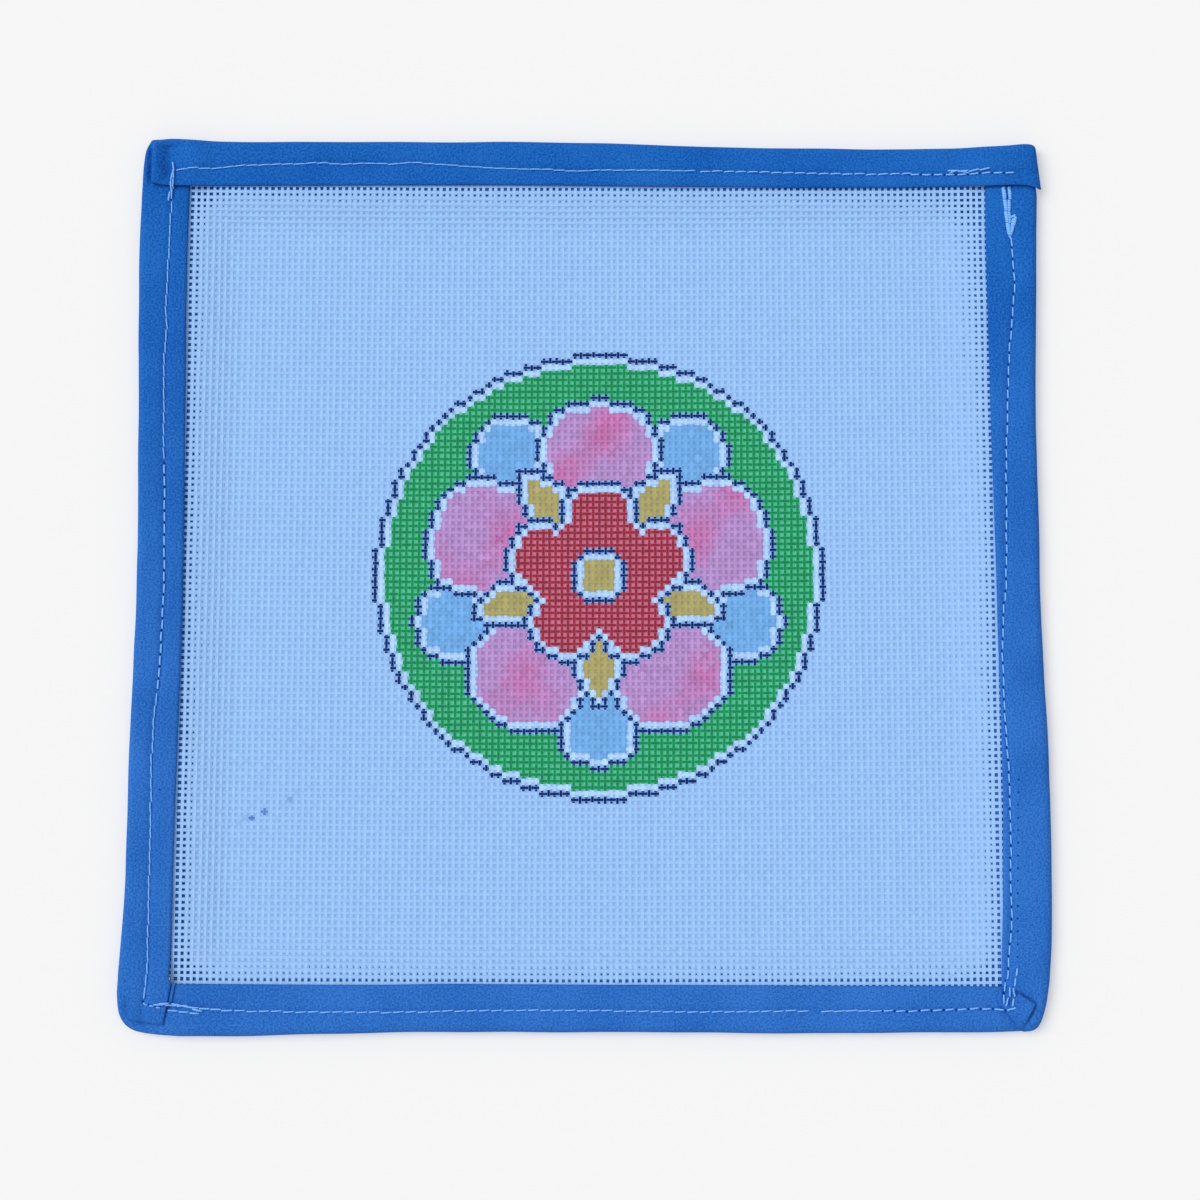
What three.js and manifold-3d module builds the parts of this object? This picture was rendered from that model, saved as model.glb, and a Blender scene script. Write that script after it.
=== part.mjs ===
// Needlepoint canvas panel: an open even-weave canvas, lying flat and face up, whose four edges are
// bound in folded cotton tape. The tape is folded over each edge with the canvas caught inside it.
//
// Millimetres. X runs across the panel, Y up it, and Z up from the surface it lies on.
// The weave itself, finer than 2 mm, is not cut: the canvas is one sheet.

import * as THREE from "three";
import { mergeVertices } from "three/addons/utils/BufferGeometryUtils.js";
import Module from "manifold-3d";

const wasm = await Module();
wasm.setup();

// ---- Driving dimensions --------------------------------------------------------------------------

const HALF_WIDTH = 104.3; // to the panel's outermost fold, left and right
const HALF_HEIGHT = 102.1; // to its outermost fold, top and bottom

const CANVAS = { left: -99.2, right: 99.6, bottom: -97.6, top: 97.0, thickness: 1.0 }; // the cut canvas
const CAUGHT = 7; // how much of the canvas's edge lies inside the binding
const SETTLE = 8; // how far in from there the canvas has come down to the surface

const TAPE_THICKNESS = 1.0;
const FOLD_DEPTH = 1.8; // from the fold's outermost line to where the tape lies flat
const BACK_SHARE = 0.8; // the tape's back, as a share of the width of its face
const CLEARANCE = 0.3; // between one layer and the next

// Heights of the undersides of the layers, from the surface up.
const CANVAS_Z = TAPE_THICKNESS + CLEARANCE;
const FACE_Z = CANVAS_Z + CANVAS.thickness + CLEARANCE;
const LAP_LIFT = TAPE_THICKNESS + CLEARANCE; // what an end rises by to lap over another tape
const LAP_Z = FACE_Z + LAP_LIFT;

// ---- Sides of the binding ------------------------------------------------------------------------
// A row for each place where the edge changes: at is the place along the side (Y on the left and
// right, X on the top and bottom), inset is how far the fold lies inside the panel's outermost line,
// face is the width of the tape's face, and lift is 1 where the face laps over another tape.

const LEFT_SIDE = [
  { at: 99.6, inset: 3.7, face: 10.0, lift: 0 },
  { at: 98, inset: 3.0, face: 10.7, lift: 0 },
  { at: 95, inset: 2.5, face: 11.2, lift: 0 },
  { at: 70, inset: 1.9, face: 11.3, lift: 0 },
  { at: 20, inset: 2.6, face: 10.9, lift: 0 },
  { at: -15, inset: 2.4, face: 11.0, lift: 0 },
  { at: -50, inset: 1.5, face: 11.0, lift: 0 },
  { at: -70, inset: 1.1, face: 11.1, lift: 0 },
  { at: -85, inset: 0.4, face: 11.6, lift: 0 },
  { at: -89.3, inset: 0.1, face: 11.8, lift: 1 },
];
const RIGHT_SIDE = [
  { at: 98.2, inset: 2.7, face: 10.0, lift: 0 },
  { at: 90.4, inset: 1.5, face: 11.0, lift: 0 },
  { at: 88.4, inset: 0.8, face: 11.7, lift: 0 },
  { at: 60, inset: 1.2, face: 11.2, lift: 0 },
  { at: 30, inset: 1.9, face: 10.0, lift: 0 },
  { at: 0, inset: 1.5, face: 9.9, lift: 0 },
  { at: -40, inset: 0.4, face: 10.3, lift: 0 },
  { at: -62, inset: 0, face: 10.7, lift: 0 },
  { at: -78, inset: 0.4, face: 10.9, lift: 0 },
  { at: -90, inset: 1.2, face: 10.5, lift: 0 },
];
const TOP_SIDE = [
  { at: -100, inset: 1.0, face: 9.5, lift: 1 },
  { at: -98, inset: 0.3, face: 10.5, lift: 1 },
  { at: -95, inset: 0, face: 11.1, lift: 1 },
  { at: -90, inset: 0.4, face: 11.1, lift: 1 },
  { at: -85, inset: 0.7, face: 10.7, lift: 0 },
  { at: -75, inset: 0.9, face: 10.5, lift: 0 },
  { at: -20, inset: 1.0, face: 10.4, lift: 0 },
  { at: 25, inset: 2.1, face: 9.9, lift: 0 },
  { at: 60, inset: 2.9, face: 9.5, lift: 0 },
  { at: 80, inset: 2.9, face: 9.4, lift: 0 },
  { at: 86, inset: 2.7, face: 9.4, lift: 0 },
  { at: 90.5, inset: 2.4, face: 9.5, lift: 1 },
  { at: 102.9, inset: 2.1, face: 9.5, lift: 1 },
];
const BOTTOM_SIDE = [
  { at: -90, inset: 0, face: 11.5, lift: 0 },
  { at: -60, inset: 0.4, face: 10.9, lift: 0 },
  { at: -20, inset: 0.9, face: 10.5, lift: 0 },
  { at: 40, inset: 0.7, face: 10.5, lift: 0 },
  { at: 80, inset: 0.9, face: 10.1, lift: 0 },
];

// Two tapes turn a lower corner, each on a quarter ellipse round a centre.
const LEFT_TURN = { x: -98, y: -94.8, reachX: 6.2, reachY: 6.9 };
const RIGHT_TURN = { x: 96.7, y: -94, reachX: 6.2, reachY: 7.1 };
const LEFT_CORNER = { x: -92.4, y: -90.1 }; // inner corners of the two lower corners
const RIGHT_CORNER = { x: 92.2, y: -91.2 };
const INNER_ROUND = 0.5; // radius that the face's inner edge turns on there

// The left tape's cut end, lapped over the bottom tape: its inner and its outer side, going down.
const LEFT_LAP = [
  { y: -89.4, inner: -92.4, outer: -102.2, slope: 0 },
  { y: -95, inner: -93.4, outer: -102.4, slope: 0 },
  { y: -98.4, inner: -94.2, outer: -102.4, slope: 1.4 },
];

// The top tape's right end, turned down over the panel's edge: a section through its outside and
// its inside, from the face down, and how much nearer the fold is than the face's inner edge.
const END_TURN = [
  { outX: 102.4, outZ: LAP_Z + TAPE_THICKNESS, inX: 102.4, inZ: LAP_Z },
  { outX: 103.5, outZ: 4.75, inX: 103.0, inZ: 3.8 },
  { outX: 104.1, outZ: 4.1, inX: 103.2, inZ: 3.5 },
  { outX: HALF_WIDTH, outZ: 3.0, inX: HALF_WIDTH - TAPE_THICKNESS, inZ: 2.9 },
  { outX: HALF_WIDTH, outZ: 1.5, inX: HALF_WIDTH - TAPE_THICKNESS, inZ: 1.5 },
];
const END_SLANT = 0.13;

// The pleat pressed flat on the lower right corner, and the foot that joins it to the right tape.
const PLEAT = [
  { x: 92.9, y: -94.9 },
  { x: 96.0, y: -92.5 },
  { x: 99.7, y: -95.1 },
  { x: 97.1, y: -100.1 },
];
const PLEAT_FOOT = [
  { x: 95.8, y: -95.2 },
  { x: 96.4, y: -93.8 },
  { x: 98.9, y: -95.4 },
  { x: 97.2, y: -98.8 },
];

const ROWS_BETWEEN = 3; // rows of points between one entry of a side's table and the next
const FOLD_STEPS = 6;
const TURN_STEPS = 8;

// ---- Sheets, and joining and cutting them --------------------------------------------------------

// A closed sheet between two surfaces of rows x columns points: face(i, j) and back(i, j).
function sheet(rows, columns, face, back) {
  const points = [];
  for (const surface of [face, back]) {
    for (let i = 0; i < rows; i++) {
      for (let j = 0; j < columns; j++) points.push(...surface(i, j));
    }
  }
  const faceAt = (i, j) => i * columns + j;
  const backAt = (i, j) => rows * columns + i * columns + j;
  const triangles = [];
  const quad = (a, b, c, d) => triangles.push(a, b, c, a, c, d);
  for (let i = 0; i < rows - 1; i++) {
    for (let j = 0; j < columns - 1; j++) {
      quad(faceAt(i, j), faceAt(i + 1, j), faceAt(i + 1, j + 1), faceAt(i, j + 1));
      quad(backAt(i, j), backAt(i, j + 1), backAt(i + 1, j + 1), backAt(i + 1, j));
    }
    quad(faceAt(i, 0), backAt(i, 0), backAt(i + 1, 0), faceAt(i + 1, 0));
    const last = columns - 1;
    quad(faceAt(i, last), faceAt(i + 1, last), backAt(i + 1, last), backAt(i, last));
  }
  for (let j = 0; j < columns - 1; j++) {
    quad(faceAt(0, j), faceAt(0, j + 1), backAt(0, j + 1), backAt(0, j));
    const last = rows - 1;
    quad(faceAt(last, j), backAt(last, j), backAt(last, j + 1), faceAt(last, j + 1));
  }
  const geometry = new THREE.BufferGeometry();
  geometry.setAttribute("position", new THREE.Float32BufferAttribute(points, 3));
  geometry.setIndex(triangles);
  return signedVolume(geometry) < 0 ? turnedInsideOut(geometry) : geometry;
}

function signedVolume(geometry) {
  const corner = [new THREE.Vector3(), new THREE.Vector3(), new THREE.Vector3()];
  const position = geometry.getAttribute("position");
  const index = geometry.getIndex();
  let volume = 0;
  for (let t = 0; t < index.count; t += 3) {
    corner.forEach((point, k) => point.fromBufferAttribute(position, index.getX(t + k)));
    volume += corner[0].dot(corner[1].cross(corner[2])) / 6;
  }
  return volume;
}

function turnedInsideOut(geometry) {
  const index = geometry.getIndex();
  for (let t = 0; t < index.count; t += 3) {
    const second = index.getX(t + 1);
    index.setX(t + 1, index.getX(t + 2));
    index.setX(t + 2, second);
  }
  return geometry;
}

function toManifold(geometry) {
  const bare = geometry.clone();
  bare.deleteAttribute("normal");
  bare.deleteAttribute("uv");
  const merged = mergeVertices(bare, 1e-5);
  const vertProperties = new Float32Array(merged.getAttribute("position").array);
  const triVerts = new Uint32Array(merged.getIndex().array);
  return new wasm.Manifold(new wasm.Mesh({ numProp: 3, vertProperties, triVerts }));
}

function toGeometry(solid) {
  const mesh = solid.getMesh();
  const geometry = new THREE.BufferGeometry();
  geometry.setAttribute("position", new THREE.Float32BufferAttribute(mesh.vertProperties, 3));
  geometry.setIndex(Array.from(mesh.triVerts));
  return geometry;
}

const joined = (...pieces) => toGeometry(pieces.map(toManifold).reduce((a, b) => a.add(b)));
const cut = (piece, tool) => toGeometry(toManifold(piece).subtract(toManifold(tool)));

function box(low, high) {
  const size = high.map((value, k) => value - low[k]);
  const middle = high.map((value, k) => (value + low[k]) / 2);
  return new THREE.BoxGeometry(...size).translate(...middle);
}

// ---- Canvas --------------------------------------------------------------------------------------
// Its edges lie on the tape's back and its middle lies on the surface.

const mix = (a, b, share) => a + (b - a) * share;

// 1 inside the binding, falling smoothly to 0 over SETTLE.
function raisedShare(fromEdge) {
  const share = THREE.MathUtils.clamp((fromEdge - CAUGHT) / SETTLE, 0, 1);
  return (1 + Math.cos(Math.PI * share)) / 2;
}

function canvasLines(low, high) {
  const steps = [0, 0.2, 0.4, 0.6, 0.8, 1].map((share) => CAUGHT + share * SETTLE);
  const middle = (low + high) / 2;
  return [low, ...steps.map((s) => low + s), middle, ...steps.map((s) => high - s).reverse(), high];
}

function canvasSheet() {
  const xs = canvasLines(CANVAS.left, CANVAS.right);
  const ys = canvasLines(CANVAS.bottom, CANVAS.top);
  const under = (x, y) => {
    const acrossX = raisedShare(Math.min(x - CANVAS.left, CANVAS.right - x));
    const acrossY = raisedShare(Math.min(y - CANVAS.bottom, CANVAS.top - y));
    return CANVAS_Z * (1 - (1 - acrossX) * (1 - acrossY));
  };
  return sheet(
    xs.length,
    ys.length,
    (i, j) => [xs[i], ys[j], under(xs[i], ys[j]) + CANVAS.thickness],
    (i, j) => [xs[i], ys[j], under(xs[i], ys[j])],
  );
}

// ---- Binding tape --------------------------------------------------------------------------------

// Stations along a side, from its table: the fold and the face's inner edge in plan, and the lift.
// place turns a distance out from the panel's middle and a place along the side into [x, y].
function sideStations(table, half, place) {
  const stations = [];
  for (let row = 0; row < table.length - 1; row++) {
    const [from, to] = [table[row], table[row + 1]];
    for (let step = 0; step < ROWS_BETWEEN; step++) stations.push(between(from, to, step / ROWS_BETWEEN));
  }
  stations.push(between(table.at(-1), table.at(-1), 0));
  return stations.map(({ at, inset, face, lift }) => ({
    fold: place(half - inset, at),
    inner: place(half - inset - face, at),
    lift: lift * LAP_LIFT,
  }));
}

// Places run evenly between two rows, and sizes ease from one to the other.
function between(from, to, share) {
  const eased = share * share * (3 - 2 * share);
  return {
    at: mix(from.at, to.at, share),
    inset: mix(from.inset, to.inset, eased),
    face: mix(from.face, to.face, eased),
    lift: mix(from.lift, to.lift, eased),
  };
}

// Stations round a lower corner, from one angle to another in degrees.
function turnStations(turn, corner, fromAngle, toAngle) {
  return Array.from({ length: TURN_STEPS + 1 }, (_, step) => {
    const angle = THREE.MathUtils.degToRad(mix(fromAngle, toAngle, step / TURN_STEPS));
    const [c, s] = [Math.cos(angle), Math.sin(angle)];
    return {
      fold: [turn.x + turn.reachX * c, turn.y + turn.reachY * s],
      inner: [corner.x + INNER_ROUND * c, corner.y + INNER_ROUND * s],
      lift: 0,
    };
  });
}

// The tape's section: back leg, fold and face leg, as [distance in from the fold, height], on the
// outside and on the inside of the tape.
function foldedSection(width, lift) {
  const top = FACE_Z + TAPE_THICKNESS + lift;
  const half = top / 2;
  const points = [{ outside: [BACK_SHARE * width, 0], inside: [BACK_SHARE * width, TAPE_THICKNESS] }];
  for (let step = 0; step <= FOLD_STEPS; step++) {
    const angle = (Math.PI * step) / FOLD_STEPS;
    const onArc = (reach, rise) => [FOLD_DEPTH - reach * Math.sin(angle), half - rise * Math.cos(angle)];
    points.push({
      outside: onArc(FOLD_DEPTH, half),
      inside: onArc(FOLD_DEPTH - TAPE_THICKNESS, half - TAPE_THICKNESS),
    });
  }
  points.push({ outside: [width, top], inside: [width, top - TAPE_THICKNESS] });
  return points;
}

// The folded tape carried along its stations.
function foldedTape(stations) {
  const sections = stations.map(({ fold, inner, lift }) => {
    const width = Math.hypot(inner[0] - fold[0], inner[1] - fold[1]);
    const inward = [(inner[0] - fold[0]) / width, (inner[1] - fold[1]) / width];
    const placed = ([distance, height]) => [
      fold[0] + inward[0] * distance,
      fold[1] + inward[1] * distance,
      height,
    ];
    return foldedSection(width, lift).map(({ outside, inside }) => [placed(outside), placed(inside)]);
  });
  return sheet(
    sections.length,
    sections[0].length,
    (i, j) => sections[i][j][0],
    (i, j) => sections[i][j][1],
  );
}

// A flat patch of one layer of tape with four corners, from one height to another.
function patch(corners, bottom, top) {
  const [a, b, c, d] = corners;
  const plan = [
    [a, b],
    [d, c],
  ];
  const at = (z) => (i, j) => [plan[i][j].x, plan[i][j].y, z];
  return sheet(2, 2, at(top), at(bottom));
}

const onLeft = (out, at) => [-out, at];
const onRight = (out, at) => [out, at];
const onTop = (out, at) => [at, out];
const onBottom = (out, at) => [at, -out];

const topStations = sideStations(TOP_SIDE, HALF_HEIGHT, onTop);
const leftStations = [
  ...sideStations(LEFT_SIDE, HALF_WIDTH, onLeft),
  { fold: [-104.3, -92.6], inner: [-92.5, -90.0], lift: LAP_LIFT },
];

// The bottom tape turns up into the left side at its left end, and stops at a slant on the right.
function bottomTape() {
  return foldedTape([
    { fold: [-104.2, -93.0], inner: [-92.9, -90.4], lift: 0 },
    ...turnStations(LEFT_TURN, LEFT_CORNER, 187, 268),
    ...sideStations(BOTTOM_SIDE, HALF_HEIGHT, onBottom),
    { fold: [96.3, 0.9 - HALF_HEIGHT], inner: [91.8, -91.2], lift: 0 },
  ]);
}

// The right tape runs down from under the top tape, round the lower right corner, and carries the
// pleat there.
function rightTape() {
  const tape = foldedTape([
    ...sideStations(RIGHT_SIDE, HALF_WIDTH, onRight),
    ...turnStations(RIGHT_TURN, RIGHT_CORNER, -5, -90),
  ]);
  const underTop = box([80, 91.3, -1], [110, 110, TAPE_THICKNESS + CLEARANCE]);
  const pleat = patch(PLEAT, LAP_Z, LAP_Z + TAPE_THICKNESS);
  const foot = patch(PLEAT_FOOT, FACE_Z + TAPE_THICKNESS / 2, LAP_Z + TAPE_THICKNESS / 2);
  return joined(cut(tape, underTop), pleat, foot);
}

// The left tape runs down from under the top tape, and its cut end laps over the bottom tape.
function leftTape() {
  const underTop = box([-100.3, 91.3, -1], [-80, 110, TAPE_THICKNESS + CLEARANCE]);
  const lap = sheet(
    LEFT_LAP.length,
    2,
    (i, j) => lapPoint(LEFT_LAP[i], j, LAP_Z + TAPE_THICKNESS),
    (i, j) => lapPoint(LEFT_LAP[i], j, LAP_Z),
  );
  return joined(cut(foldedTape(leftStations), underTop), lap);
}

function lapPoint({ y, inner, outer, slope }, side, z) {
  return side === 0 ? [inner, y - slope, z] : [outer, y, z];
}

// The top tape laps over both side tapes, and its right end is turned down over the edge.
function topTape() {
  const end = topStations.at(-1);
  const [innerY, foldY] = [end.inner[1], end.fold[1] - FOLD_DEPTH];
  const turned = (column, side) => (i, j) => {
    const y = j === 0 ? innerY : foldY;
    const point = END_TURN[i];
    return [point[column] - END_SLANT * (y - innerY), y, point[side]];
  };
  const endTurn = sheet(END_TURN.length, 2, turned("outX", "outZ"), turned("inX", "inZ"));
  return joined(foldedTape(topStations), endTurn);
}

// ---- Assembly ------------------------------------------------------------------------------------

function named(name, geometry, color, roughness) {
  const flat = geometry.toNonIndexed();
  flat.computeVertexNormals();
  const mesh = new THREE.Mesh(flat, new THREE.MeshStandardMaterial({ color, roughness, metalness: 0 }));
  mesh.name = name;
  return mesh;
}

const CANVAS_BLUE = 0xa9ccf7;
const TAPE_BLUE = 0x2263c4;

const group = new THREE.Group();
group.add(
  named("canvas", canvasSheet(), CANVAS_BLUE, 0.85),
  named("binding_top", topTape(), TAPE_BLUE, 0.8),
  named("binding_left", leftTape(), TAPE_BLUE, 0.8),
  named("binding_right", rightTape(), TAPE_BLUE, 0.8),
  named("binding_bottom", bottomTape(), TAPE_BLUE, 0.8),
);

export default group;
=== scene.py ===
"""Needlepoint canvas panel: an open even-weave canvas painted for stitching, lying flat and face up, with
its four edges bound in folded cotton tape. Metres: X across the panel, Y up it, Z up from the surface."""

import bpy
import numpy as np
from mathutils import Matrix, Vector


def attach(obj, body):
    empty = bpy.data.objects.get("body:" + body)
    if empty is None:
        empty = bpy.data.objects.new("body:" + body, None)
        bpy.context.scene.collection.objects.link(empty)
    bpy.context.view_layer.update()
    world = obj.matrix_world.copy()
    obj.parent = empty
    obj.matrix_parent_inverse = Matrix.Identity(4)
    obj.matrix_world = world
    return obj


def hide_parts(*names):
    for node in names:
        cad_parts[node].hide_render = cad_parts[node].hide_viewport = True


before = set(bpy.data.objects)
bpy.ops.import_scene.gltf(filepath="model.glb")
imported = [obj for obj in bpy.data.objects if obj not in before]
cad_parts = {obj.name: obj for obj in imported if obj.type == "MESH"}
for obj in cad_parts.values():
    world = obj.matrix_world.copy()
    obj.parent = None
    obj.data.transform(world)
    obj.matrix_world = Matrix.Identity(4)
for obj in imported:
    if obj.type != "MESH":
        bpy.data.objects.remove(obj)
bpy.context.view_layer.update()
scene = bpy.context.scene
MM = 0.001
FULL_TURN = 6.283  # radians

# ---- Camera, light and floor ---------------------------------------------------------------------
# A camera straight above the panel, a little towards its lower edge; a white room; a broad soft light
# from the upper left; and a pale floor that glows a little, so that shadows on it stay faint.

camera_right = Vector((0.99998, -0.00089, -0.0065)).normalized()
camera_back = Vector((0.00643, -0.08242, 0.99657)).normalized()
camera_up = camera_back.cross(camera_right)
camera_turn = Matrix((camera_right, camera_up, camera_back)).transposed().to_quaternion()
camera = bpy.data.objects.new("camera", bpy.data.cameras.new("camera"))
camera.data.lens = 61.5
camera.data.sensor_width = 36
camera.data.clip_start = 0.01
camera.matrix_world = Matrix.LocRotScale(Vector((0.00645, -0.04314, 0.4637)), camera_turn, None)
scene.collection.objects.link(camera)
scene.camera = camera

room = bpy.data.worlds.new("white_room")
room.use_nodes = True
room.node_tree.nodes["Background"].inputs["Color"].default_value = (1, 1, 1, 1)
room.node_tree.nodes["Background"].inputs["Strength"].default_value = 0.60
scene.world = room
scene.view_settings.view_transform = "Standard"

soft_light = bpy.data.objects.new("soft_light", bpy.data.lights.new("soft_light", "SUN"))
soft_light.data.angle = np.radians(40)
soft_light.data.energy = 1.76
soft_light.rotation_euler = Vector((-0.62, 0.25, 0.80)).to_track_quat("Z", "Y").to_euler()
scene.collection.objects.link(soft_light)


def new_material(name, roughness, specular):
    """A Principled material of that name, as (material, nodes, shader)."""
    material = bpy.data.materials.new(name)
    material.use_nodes = True
    shader = material.node_tree.nodes["Principled BSDF"]
    shader.inputs["Roughness"].default_value = roughness
    shader.inputs["Specular IOR Level"].default_value = specular
    return material, material.node_tree.nodes, shader


def new_node(nodes, kind, operation=None, values=()):
    """A shader node of that kind, with its operation and (input, value) pairs."""
    node = nodes.new("ShaderNode" + kind)
    if operation:
        node.operation = operation
    for socket, value in values:
        node.inputs[socket].default_value = value
    return node


def wire(source, output, target, socket):
    """Joins an output of one node to an input of another, each by name or number."""
    source.id_data.links.new(source.outputs[output], target.inputs[socket])


def new_group(name, sockets):
    """An empty node group with these (name, kind, INPUT or OUTPUT) sockets, as (group, taken, given)."""
    group = bpy.data.node_groups.new(name, "ShaderNodeTree")
    for socket, kind, way in sockets:
        group.interface.new_socket(socket, in_out=way, socket_type="NodeSocket" + kind)
    return group, group.nodes.new("NodeGroupInput"), group.nodes.new("NodeGroupOutput")


def placed_mesh(name, points, faces, smooth=True):
    """The object of that name whose mesh has these points (n, 3) and these four-sided faces (m, 4)."""
    mesh = bpy.data.meshes.new(name)
    mesh.vertices.add(len(points))
    mesh.vertices.foreach_set("co", np.asarray(points, np.float32).ravel())
    mesh.loops.add(faces.size)
    mesh.loops.foreach_set("vertex_index", np.asarray(faces, np.int32).ravel())
    mesh.polygons.add(len(faces))
    mesh.polygons.foreach_set("loop_start", np.arange(0, faces.size, 4, dtype=np.int32))
    mesh.polygons.foreach_set("use_smooth", np.full(len(faces), smooth))
    mesh.update(calc_edges=True)
    thing = bpy.data.objects.new(name, mesh)
    scene.collection.objects.link(thing)
    return thing


floor_corners = np.array([(-1.5, -1.5), (1.5, -1.5), (1.5, 1.5), (-1.5, 1.5)])
floor = placed_mesh(
    "floor", np.column_stack([floor_corners, np.full(4, -0.02 * MM)]), np.array([[0, 1, 2, 3]])
)
floor_paper, _, floor_shader = new_material("floor_paper", 0.9, 0.0)
floor_shader.inputs["Base Color"].default_value = (0.6, 0.6, 0.6, 1)
floor_shader.inputs["Emission Color"].default_value = (1, 1, 1, 1)
floor_shader.inputs["Emission Strength"].default_value = 0.31
floor.data.materials.append(floor_paper)

# ---- Canvas --------------------------------------------------------------------------------------
# Stiff cotton canvas in plain weave, 18 threads to the inch, cut square and caught in the binding.
# Its threads are flat and starched, and paint is brushed on crossing by crossing.

PITCH = 1.4111 * MM
WARPS = np.arange(-70, 71)  # threads that run up the panel, numbered from its middle
WEFTS = np.arange(-68, 70)  # threads that run across it
THREAD_TOP, THREAD_THICK = 0.58 * MM, 0.14 * MM
THREAD_BEND = 0.014 * MM  # how far it rises and sinks over and under the threads that it crosses
THREAD_BASE = (0.66 * MM, 1.37 * MM)  # across a thread's underside, by the binding and out in the open
THREAD_UNEVEN = 0.05
WARP_TONE, WEFT_TONE = 1.02, 0.97
CANVAS_EDGE = {"left": -99.2, "right": 99.6, "bottom": -97.6, "top": 97.0}
CANVAS_LOW, CANVAS_RISE = 0.27 * MM, 1.43 * MM  # height in the open, and how much more in the binding
CAUGHT = {"left": 7.0, "right": 5.3, "bottom": 5.2, "top": 4.9}  # millimetres of it in the binding
SETTLE = 14.0  # millimetres in which it comes down from there
wear = np.random.default_rng(11)


def crossing_place(warp, weft):
    """Plan place of a crossing: an even grid, pulled aside and up by low curves as a worked canvas is."""
    x, y = warp * PITCH / (85 * MM), weft * PITCH / (85 * MM)
    aside = 0.45 - 0.33 * x**2 + 0.03 * x + y * (0.24 - 0.32 * x)
    up = -0.70 + 0.35 * x**2 - 0.15 * x - 0.16 * y - 0.10 * x * y + (1 - y**2) * (0.2 * x + 0.2 * x**2)
    return warp * PITCH + aside * MM, weft * PITCH + up * MM


def caught_share(x, y):
    """
    1 where the canvas lies inside the binding and 0 out in the open: 1 less the product, over the two
    directions, of a half cosine that rises from 0 at the binding to 1 where the canvas has settled.
    """
    share = []
    for a, low, high in ((x / MM, "left", "right"), (y / MM, "bottom", "top")):
        from_low = a - CANVAS_EDGE[low] - CAUGHT[low]
        from_high = CANVAS_EDGE[high] - a - CAUGHT[high]
        share.append(np.clip(np.minimum(from_low, from_high) / SETTLE, 0, 1))
    return 1 - np.prod([(1 - np.cos(np.pi * s)) / 2 for s in share], axis=0)


# The painted roundel, counted in crossings from its middle: rings of five petals, a plan of its own.
ROUNDEL_MIDDLE = (2, 1)
# Each paint on the tops of the threads, then the colour of their flanks and undersides, which fill most of
# each hole: painted shade and light for what shows through the holes, darker under pale paints, paler
# under dark.
PAINT_AND_HOLE_SHADING = {
    "bare": ((0.335, 0.565, 0.920), (0.262, 0.465, 0.845)),
    "green": ((0.004, 0.260, 0.075), (0.090, 0.470, 0.310)),
    "sky": ((0.170, 0.420, 0.800), (0.140, 0.360, 0.730)),
    "pink": ((0.470, 0.290, 0.620), (0.370, 0.215, 0.500)),
    "red": ((0.290, 0.022, 0.042), (0.520, 0.160, 0.265)),
    "ochre": ((0.420, 0.375, 0.130), (0.340, 0.320, 0.160)),
    "navy": ((0.003, 0.018, 0.120), (0.210, 0.420, 0.850)),
    "pale": ((0.450, 0.660, 0.970), (0.300, 0.520, 0.900)),
}


def petals(count, turn, along, length, width, power, taper):
    """Crossings in one of count petals spaced evenly round the middle: |u|^power + |v|^power < 1."""
    step = 360 / count
    angle = np.radians((bearing - turn + step / 2) % step - step / 2)
    u = (radius * np.cos(angle) - along) / length
    v = radius * np.sin(angle) / (width * np.clip(1 + taper * u, 0.05, None))
    return np.abs(u) ** power + np.abs(v) ** power < 1


def beside(mask):
    """Crossings that touch the mask on any of their four sides."""
    return np.logical_or.reduce([np.roll(mask, s, a) for s in (1, -1) for a in (0, 1)])


counted_x = (WARPS - ROUNDEL_MIDDLE[0])[:, None] + 0 * WEFTS[None, :]
counted_y = 0 * WARPS[:, None] + (WEFTS - ROUNDEL_MIDDLE[1])[None, :]
radius, bearing = np.hypot(counted_x, counted_y), np.degrees(np.arctan2(counted_x, counted_y))
dye_names = list(PAINT_AND_HOLE_SHADING)
chart = np.zeros(radius.shape, int)
for mask, paint_and_hole_shading in (
    (radius < 36.3, "green"),
    (petals(5, 36, 23.9, 7.4, 6.8, 1.7, 0.30), "sky"),
    (petals(5, 0, 16.7, 12.4, 9.7, 2.1, 0.30), "pink"),
    (petals(5, 36, 15.0, 6.8, 4.4, 1.5, -0.2), "ochre"),
    (petals(5, 0, 7.9, 7.8, 6.0, 2.0, 0.35), "red"),
    (radius < 4.8, "ochre"),
):
    outline = mask & beside(~mask)
    chart[mask] = dye_names.index(paint_and_hole_shading)
    chart[mask & ~outline & beside(outline)] = dye_names.index("pale")
    chart[outline] = dye_names.index("navy")
chart_colour = np.array(list(PAINT_AND_HOLE_SHADING.values()))[chart]  # by warp and weft: the paint on top, and the painted shade and light of the holes for the flanks

# Each crossing took the brush a little differently, and pink went on warmer in patches.
brush = 1 + 0.05 * wear.standard_normal(chart.shape)
chart_colour = chart_colour * np.where(chart > 0, brush, 1 + 0.25 * (brush - 1))[..., None, None]
patchy = np.sin(counted_x / 2.3 + 1) * np.sin(counted_y / 3.1) + np.sin((counted_x - counted_y) / 4.7)
warmth = np.clip(0.5 * patchy + 0.10 * wear.standard_normal(chart.shape), 0, 1)[..., None, None]
warmed = chart_colour * (1 + warmth * (0.20, -0.38, -0.28))
chart_colour = np.where((chart == dye_names.index("pink"))[..., None, None], warmed, chart_colour)
# A stray pen line left a few ink specks below and left of the roundel: warp, weft, strength.
for warp, weft, ink in ((-55, -39, 0.15), (-54, -38, 0.25), (-53, -38, 0.85), (-51, -37, 0.80),
                        (-48, -36, 0.10), (-47, -35, 0.45), (-46, -34, 0.20)):  # fmt: skip
    chart_colour[warp - WARPS[0], weft - WEFTS[0], 0] *= 1 - ink * np.array((0.85, 0.75, 0.45))


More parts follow.
